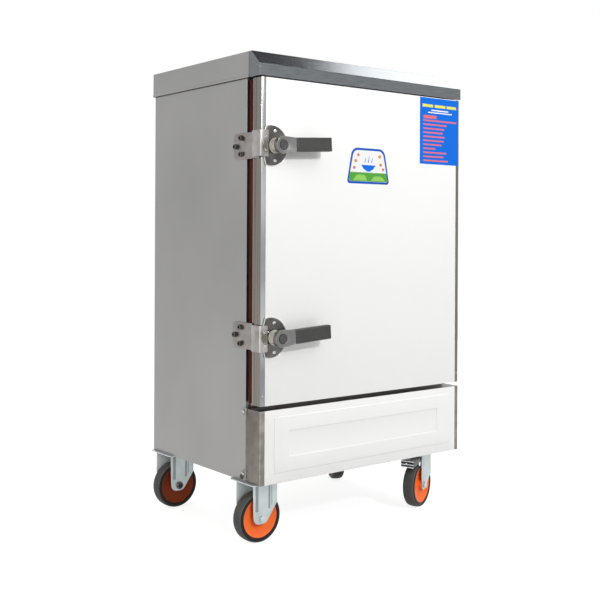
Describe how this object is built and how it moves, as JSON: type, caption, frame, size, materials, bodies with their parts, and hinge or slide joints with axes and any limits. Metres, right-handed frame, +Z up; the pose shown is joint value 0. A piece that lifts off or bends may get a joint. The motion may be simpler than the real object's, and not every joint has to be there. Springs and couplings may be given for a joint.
{
  "type": "rice steamer cabinet",
  "caption": "Insulated stainless rice steamer cabinet on casters, with a latched door, stacked trays, a heated water sump and a sloped front visor.",
  "frame": {"origin": "centre of the footprint, on the floor under the casters", "axes": "+X to the cabinet's right as seen from the front, +Y from the door to the back, +Z up"},
  "size_m": [0.7365, 0.6069, 1.227],
  "materials": {
    "stainless_steel": "satin",
    "polished_steel": "polished",
    "plated_brass": "satin",
    "painted_lever": "satin",
    "white_sheet": "gloss",
    "foam": "matte",
    "red_rubber": "matte",
    "black_grip": "matte",
    "dark_plastic": "matte",
    "zinc_plated_steel": "satin",
    "orange_hub": "satin",
    "grey_tyre": "matte"
  },
  "bodies": {
    "cabinet": {"side_panel_left": "stainless_steel", "side_panel_right": "stainless_steel", "back_panel": "stainless_steel", "base_pan": "stainless_steel", "caster_rails": "stainless_steel", "top_cover": "stainless_steel", "front_visor": "stainless_steel", "front_frame": "stainless_steel", "chamber_liner": "stainless_steel", "water_sump": "stainless_steel", "heating_elements": "stainless_steel", "steam_vent": "stainless_steel", "tray_racks": "stainless_steel", "rice_trays": "stainless_steel", "lower_cover": "stainless_steel", "hinge_leaves_cabinet": "stainless_steel", "hinge_pins": "stainless_steel", "latch_keepers": "stainless_steel", "cabinet_fasteners": "stainless_steel", "float_valve": "plated_brass", "drain_valve": "plated_brass", "lower_cover_facing": "white_sheet", "cabinet_insulation": "foam", "cable_gland": "dark_plastic", "terminal_box": "dark_plastic", "rigid_fork_front": "zinc_plated_steel", "rigid_fork_rear": "zinc_plated_steel", "rigid_axles": "zinc_plated_steel", "swivel_plates": "zinc_plated_steel"},
    "door": {"door_skin": "stainless_steel", "door_facing": "white_sheet", "door_insulation": "foam", "door_liner": "stainless_steel", "door_gasket": "red_rubber", "hinge_leaves_door": "stainless_steel", "latch_plates": "polished_steel", "latch_brackets": "stainless_steel", "latch_screws": "stainless_steel"},
    "upper_latch": {"upper_lever": "polished_steel", "upper_grip": "black_grip", "upper_cam": "polished_steel"},
    "lower_latch": {"lower_lever": "polished_steel", "lower_grip": "black_grip", "lower_cam": "polished_steel"},
    "front_left_wheel": {"front_left_hub": "orange_hub", "front_left_tyre": "grey_tyre"},
    "rear_left_wheel": {"rear_left_hub": "orange_hub", "rear_left_tyre": "grey_tyre"},
    "front_swivel": {"front_swivel_fork": "zinc_plated_steel", "front_swivel_axle": "zinc_plated_steel"},
    "rear_swivel": {"rear_swivel_fork": "zinc_plated_steel", "rear_swivel_axle": "zinc_plated_steel"},
    "front_right_wheel": {"front_right_hub": "orange_hub", "front_right_tyre": "grey_tyre"},
    "rear_right_wheel": {"rear_right_hub": "orange_hub", "rear_right_tyre": "grey_tyre"},
    "front_brake": {"front_brake_pedal": "zinc_plated_steel"},
    "rear_brake": {"rear_brake_pedal": "zinc_plated_steel"},
    "float": {"float_arm": "stainless_steel"},
    "drain_handle": {"drain_lever": "painted_lever"}
  },
  "joints": [
    {"name": "door_hinge", "type": "hinge", "parent": "cabinet", "child": "door", "pos_m": [0.356, -0.20475, 0.8], "axis": [0, 0, 1], "range_deg": [0, 170]},
    {"name": "upper_latch_turn", "type": "hinge", "parent": "door", "child": "upper_latch", "pos_m": [-0.311, -0.25975, 0.9915], "axis": [0, 1, 0], "range_deg": [0, 90]},
    {"name": "lower_latch_turn", "type": "hinge", "parent": "door", "child": "lower_latch", "pos_m": [-0.311, -0.25975, 0.519], "axis": [0, 1, 0], "range_deg": [0, 90]},
    {"name": "front_left_roll", "type": "hinge", "parent": "cabinet", "child": "front_left_wheel", "pos_m": [-0.311, -0.19275, 0.0635], "axis": [0, 1, 0], "continuous": true},
    {"name": "rear_left_roll", "type": "hinge", "parent": "cabinet", "child": "rear_left_wheel", "pos_m": [-0.311, 0.20725, 0.0635], "axis": [0, 1, 0], "continuous": true},
    {"name": "front_swivel_turn", "type": "hinge", "parent": "cabinet", "child": "front_swivel", "pos_m": [0.272, -0.19275, 0.148], "axis": [0, 0, 1], "continuous": true},
    {"name": "front_right_roll", "type": "hinge", "parent": "front_swivel", "child": "front_right_wheel", "pos_m": [0.24119, -0.20458, 0.0635], "axis": [-0.3584, 0.9336, 0], "continuous": true},
    {"name": "front_brake_press", "type": "hinge", "parent": "front_swivel", "child": "front_brake", "pos_m": [0.23466, -0.20708, 0.135], "axis": [0.3584, -0.9336, 0], "range_deg": [0, 10]},
    {"name": "rear_swivel_turn", "type": "hinge", "parent": "cabinet", "child": "rear_swivel", "pos_m": [0.272, 0.20725, 0.148], "axis": [0, 0, 1], "continuous": true},
    {"name": "rear_right_roll", "type": "hinge", "parent": "rear_swivel", "child": "rear_right_wheel", "pos_m": [0.25753, 0.17759, 0.0635], "axis": [-0.8988, 0.4384, 0], "continuous": true},
    {"name": "rear_brake_press", "type": "hinge", "parent": "rear_swivel", "child": "rear_brake", "pos_m": [0.25446, 0.1713, 0.135], "axis": [0.8988, -0.4384, 0], "range_deg": [0, 10]},
    {"name": "float_pivot", "type": "hinge", "parent": "cabinet", "child": "float", "pos_m": [0.23, 0.17675, 0.365], "axis": [-1, 0, 0], "range_deg": [0, 25]},
    {"name": "drain_turn", "type": "hinge", "parent": "cabinet", "child": "drain_handle", "pos_m": [0.15, 0.27575, 0.233], "axis": [0, 0, -1], "range_deg": [0, 90]}
  ]
}
